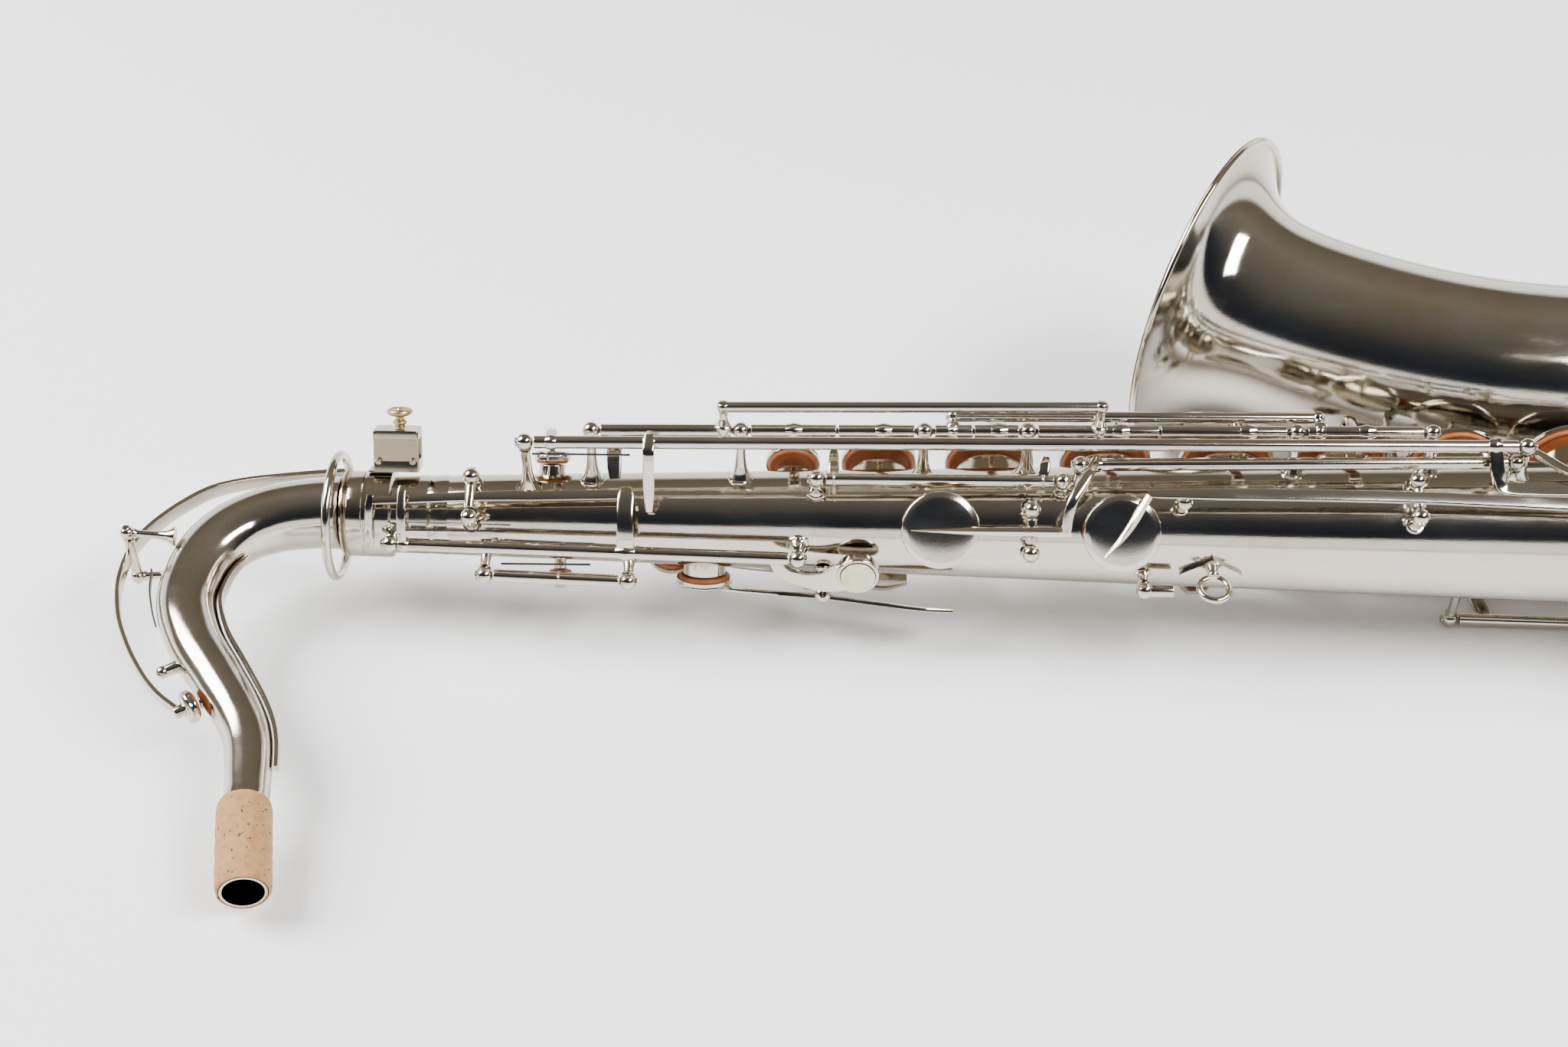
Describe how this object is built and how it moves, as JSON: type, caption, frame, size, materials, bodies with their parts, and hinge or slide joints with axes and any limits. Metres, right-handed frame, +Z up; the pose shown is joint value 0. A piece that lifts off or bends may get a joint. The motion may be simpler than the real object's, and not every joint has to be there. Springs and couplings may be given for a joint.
{
  "type": "tenor saxophone",
  "caption": "Old nickel-plated tenor saxophone lying on its left side: conical body, bow, flared bell, curved neck and working key work.",
  "frame": {"origin": "middle of the bounding box's underside, on the surface that the instrument lies on", "axes": "+X along the body tube from the neck to the bow, +Y across, towards the bell, +Z up, away from the surface"},
  "size_m": [0.8109, 0.3498, 0.131],
  "materials": {
    "nickel": "old nickel plate, polished, with fine scratches and yellowish wear",
    "bare_brass": "bare brass with its plating worn through",
    "steel": "blued spring steel",
    "leather": "orange-brown leather pad",
    "cork": "natural cork, matt, with dark pits",
    "pearl": "pale yellow-green mother of pearl"
  },
  "bodies": {
    "body": {"bell": "nickel", "bell_bow_ring": "nickel", "bell_brace": "nickel", "bell_key_guard": "nickel", "body_bow_ring": "nickel", "body_tube": "nickel", "bow": "nickel", "lower_stack_rod": "steel", "lyre_holder": "nickel", "side_bb_spring": "steel", "strap_ring": "nickel", "thumb_hook": "nickel", "upper_stack_rod": "steel"},
    "neck": {"neck_tube": "nickel", "neck_tenon": "bare_brass", "neck_cork": "cork", "neck_brace": "nickel", "neck_flat_spring": "steel"},
    "lyre_screw": {"lyre_screw": "bare_brass"},
    "key_c": {"key_c": "nickel", "pad_c": "leather"},
    "key_b": {"key_b": "nickel", "pad_b": "leather"},
    "key_a": {"key_a": "nickel", "pad_a": "leather"},
    "key_g": {"key_g": "nickel", "pad_g": "leather"},
    "key_f_sharp": {"key_f_sharp": "nickel", "pad_f_sharp": "leather"},
    "key_f": {"key_f": "nickel", "pad_f": "leather"},
    "key_e": {"key_e": "nickel", "pad_e": "leather"},
    "key_d": {"key_d": "nickel", "pad_d": "leather"},
    "high_e_key": {"high_e_key": "nickel"},
    "side_c_key": {"side_c_key": "nickel"},
    "trill_lever": {"trill_lever": "nickel"},
    "thumb_key": {"thumb_key": "nickel", "thumb_pearl": "pearl"},
    "vent_key": {"vent_key": "nickel"},
    "octave_lever": {"octave_lever": "nickel"},
    "side_c_lever": {"side_c_lever": "nickel"},
    "side_bb_key": {"side_bb_key": "nickel"},
    "palm_eb_key": {"palm_eb_key": "nickel"},
    "palm_d_key": {"palm_d_key": "nickel"},
    "palm_f_key": {"palm_f_key": "nickel"},
    "g_sharp_key": {"g_sharp_key": "nickel"},
    "low_eb_key": {"low_eb_key": "nickel"},
    "low_c_key": {"low_c_key": "nickel"},
    "low_bb_key": {"low_bb_key": "nickel"},
    "low_b_key": {"low_b_key": "nickel"},
    "low_c_sharp_key": {"low_c_sharp_key": "nickel"},
    "low_c_sharp_lever": {"low_c_sharp_lever": "nickel"},
    "neck_octave_key": {"neck_octave_key": "nickel", "pad_neck": "leather"}
  },
  "joints": [
    {"name": "neck_swivel", "type": "hinge", "parent": "body", "child": "neck", "pos_m": [-0.32199, -0.00892, 0.03797], "axis": [0.9996, 0, 0.0265], "range_deg": [-12, 0]},
    {"name": "lyre_screw_turn", "type": "hinge", "parent": "body", "child": "lyre_screw", "pos_m": [-0.31283, 0.0035, 0.06987], "axis": [-0.0247, 0.3653, 0.9306], "continuous": true},
    {"name": "key_c_hinge", "type": "hinge", "parent": "body", "child": "key_c", "pos_m": [-0.16959, -0.00596, 0.07784], "axis": [-0.9993, -0.0046, -0.0376], "range_deg": [0, 6.7], "stiffness_Nm_per_rad": 0.05, "springref_deg": -57.3},
    {"name": "key_b_hinge", "type": "hinge", "parent": "body", "child": "key_b", "pos_m": [-0.16959, -0.00596, 0.07784], "axis": [-0.9993, -0.0046, -0.0376], "range_deg": [0, 6.7], "stiffness_Nm_per_rad": 0.05, "springref_deg": -57.3},
    {"name": "key_a_hinge", "type": "hinge", "parent": "body", "child": "key_a", "pos_m": [-0.16959, -0.00596, 0.07784], "axis": [-0.9993, -0.0046, -0.0376], "range_deg": [0, 6.7], "stiffness_Nm_per_rad": 0.05, "springref_deg": -57.3},
    {"name": "key_g_hinge", "type": "hinge", "parent": "body", "child": "key_g", "pos_m": [-0.02409, -0.0053, 0.08332], "axis": [-0.9993, -0.0046, -0.0376], "range_deg": [0, 6.7], "stiffness_Nm_per_rad": 0.12, "springref_deg": -57.3},
    {"name": "key_f_sharp_hinge", "type": "hinge", "parent": "body", "child": "key_f_sharp", "pos_m": [-0.02409, -0.0053, 0.08332], "axis": [-0.9993, -0.0046, -0.0376], "range_deg": [0, 6.7], "stiffness_Nm_per_rad": 0.05, "springref_deg": -57.3},
    {"name": "key_f_hinge", "type": "hinge", "parent": "body", "child": "key_f", "pos_m": [-0.02409, -0.0053, 0.08332], "axis": [-0.9993, -0.0046, -0.0376], "range_deg": [0, 6.7], "stiffness_Nm_per_rad": 0.05, "springref_deg": -57.3},
    {"name": "key_e_hinge", "type": "hinge", "parent": "body", "child": "key_e", "pos_m": [0.08876, 0.00573, 0.01541], "axis": [0.9999, 0.0162, -0.0011], "range_deg": [0, 6.7], "stiffness_Nm_per_rad": 0.05, "springref_deg": -57.3},
    {"name": "key_d_hinge", "type": "hinge", "parent": "body", "child": "key_d", "pos_m": [0.08876, 0.00573, 0.01541], "axis": [0.9999, 0.0162, -0.0011], "range_deg": [0, 6.7], "stiffness_Nm_per_rad": 0.05, "springref_deg": -57.3},
    {"name": "high_e_key_hinge", "type": "hinge", "parent": "body", "child": "high_e_key", "pos_m": [-0.09547, -0.01564, 0.08201], "axis": [0.9994, 0.0102, 0.0322], "range_deg": [0, 7], "stiffness_Nm_per_rad": 0.12, "springref_deg": -57.3},
    {"name": "side_c_key_hinge", "type": "hinge", "parent": "body", "child": "side_c_key", "pos_m": [-0.00101, -0.01426, 0.07724], "axis": [0.9989, 0.0065, 0.0464], "range_deg": [0, 3.6], "stiffness_Nm_per_rad": 0.05, "springref_deg": -57.3},
    {"name": "trill_lever_hinge", "type": "hinge", "parent": "body", "child": "trill_lever", "pos_m": [-0.1242, -0.01793, 0.06745], "axis": [0.9994, -0.0011, 0.0335], "range_deg": [0, 5], "stiffness_Nm_per_rad": 0.05, "springref_deg": -57.3},
    {"name": "thumb_key_hinge", "type": "hinge", "parent": "body", "child": "thumb_key", "pos_m": [-0.24258, -0.03303, 0.04263], "axis": [0.9992, -0.0325, 0.0225], "range_deg": [0, 7], "stiffness_Nm_per_rad": 0.05, "springref_deg": -57.3},
    {"name": "vent_key_hinge", "type": "hinge", "parent": "body", "child": "vent_key", "pos_m": [-0.25567, -0.03346, 0.03075], "axis": [-0.9998, -0.0101, 0.0185], "range_deg": [0, 8], "stiffness_Nm_per_rad": 0.05, "springref_deg": -57.3},
    {"name": "octave_lever_hinge", "type": "hinge", "parent": "body", "child": "octave_lever", "pos_m": [-0.28585, -0.02203, 0.05597], "axis": [-0.0162, 0.7925, 0.6096], "range_deg": [0, 2], "stiffness_Nm_per_rad": 0.03, "springref_deg": -57.3},
    {"name": "side_c_lever_hinge", "type": "hinge", "parent": "body", "child": "side_c_lever", "pos_m": [-0.0924, -0.03122, 0.05664], "axis": [-0.0231, 0.4913, 0.8707], "range_deg": [0, 6], "stiffness_Nm_per_rad": 0.05, "springref_deg": -57.3},
    {"name": "side_bb_key_hinge", "type": "hinge", "parent": "body", "child": "side_bb_key", "pos_m": [0.03922, -0.02623, 0.07267], "axis": [-0.0151, 0.8234, 0.5673], "range_deg": [0, 2.2], "stiffness_Nm_per_rad": 0.12, "springref_deg": -57.3},
    {"name": "palm_eb_key_hinge", "type": "hinge", "parent": "body", "child": "palm_eb_key", "pos_m": [-0.16249, -0.02436, 0.02127], "axis": [-0.0157, -0.8046, 0.5936], "range_deg": [0, 6], "stiffness_Nm_per_rad": 0.05, "springref_deg": -57.3},
    {"name": "palm_d_key_hinge", "type": "hinge", "parent": "body", "child": "palm_d_key", "pos_m": [-0.16736, -0.0027, 0.0163], "axis": [0.0062, -0.9721, -0.2346], "range_deg": [0, 6], "stiffness_Nm_per_rad": 0.05, "springref_deg": -57.3},
    {"name": "palm_f_key_hinge", "type": "hinge", "parent": "body", "child": "palm_f_key", "pos_m": [-0.18159, 0.01223, 0.02491], "axis": [0.0208, -0.6215, -0.7832], "range_deg": [0, 6], "stiffness_Nm_per_rad": 0.05, "springref_deg": -57.3},
    {"name": "g_sharp_key_hinge", "type": "hinge", "parent": "body", "child": "g_sharp_key", "pos_m": [-0.03724, 0.01031, 0.01352], "axis": [-0.9999, -0.0124, -0.0089], "range_deg": [0, 7], "stiffness_Nm_per_rad": 0.05, "springref_deg": -57.3},
    {"name": "low_eb_key_hinge", "type": "hinge", "parent": "body", "child": "low_eb_key", "pos_m": [0.15481, -0.01658, 0.08968], "axis": [0.9981, 0.0017, 0.0618], "range_deg": [0, 8], "stiffness_Nm_per_rad": 0.12, "springref_deg": -57.3},
    {"name": "low_c_key_hinge", "type": "hinge", "parent": "body", "child": "low_c_key", "pos_m": [0.20776, -0.00085, 0.09244], "axis": [-0.9983, -0.0065, -0.0587], "range_deg": [0, 6.4], "stiffness_Nm_per_rad": 0.12, "springref_deg": -57.3},
    {"name": "low_bb_key_hinge", "type": "hinge", "parent": "body", "child": "low_bb_key", "pos_m": [0.1601, -0.00176, 0.00323], "axis": [1, 0.004, -0.0001], "range_deg": [0, 3.6], "stiffness_Nm_per_rad": 0.12, "springref_deg": -57.3},
    {"name": "low_b_key_hinge", "type": "hinge", "parent": "body", "child": "low_b_key", "pos_m": [0.1601, -0.00176, 0.00323], "axis": [1, 0.004, -0.0001], "range_deg": [0, 3.6], "stiffness_Nm_per_rad": 0.12, "springref_deg": -57.3},
    {"name": "low_c_sharp_key_hinge", "type": "hinge", "parent": "body", "child": "low_c_sharp_key", "pos_m": [0.28213, -0.00135, 0.00375], "axis": [-0.9999, -0.0014, -0.017], "range_deg": [0, 3.6], "stiffness_Nm_per_rad": 0.12, "springref_deg": -57.3},
    {"name": "low_c_sharp_lever_hinge", "type": "hinge", "parent": "body", "child": "low_c_sharp_lever", "pos_m": [0.13281, 0.02078, 0.01405], "axis": [0.9999, 0.0022, 0.012], "range_deg": [0, 2.6], "stiffness_Nm_per_rad": 0.05, "springref_deg": -57.3},
    {"name": "neck_octave_key_hinge", "type": "hinge", "parent": "neck", "child": "neck_octave_key", "pos_m": [-0.40267, -0.03097, 0.0325], "axis": [0.0262, 0.1491, -0.9885], "range_deg": [0, 2], "stiffness_Nm_per_rad": 0.03, "springref_deg": -57.3}
  ],
  "couplings": [
    {"joint": "octave_lever_hinge", "follows": "thumb_key_hinge", "ratio": 0.2857},
    {"joint": "neck_octave_key_hinge", "follows": "thumb_key_hinge", "ratio": 0.2857},
    {"joint": "side_c_lever_hinge", "follows": "side_c_key_hinge", "ratio": 1.6},
    {"joint": "key_f_sharp_hinge", "follows": "key_f_hinge", "ratio": 1},
    {"joint": "key_c_hinge", "follows": "key_b_hinge", "ratio": 1},
    {"joint": "low_c_sharp_lever_hinge", "follows": "low_c_sharp_key_hinge", "ratio": 0.714}
  ]
}
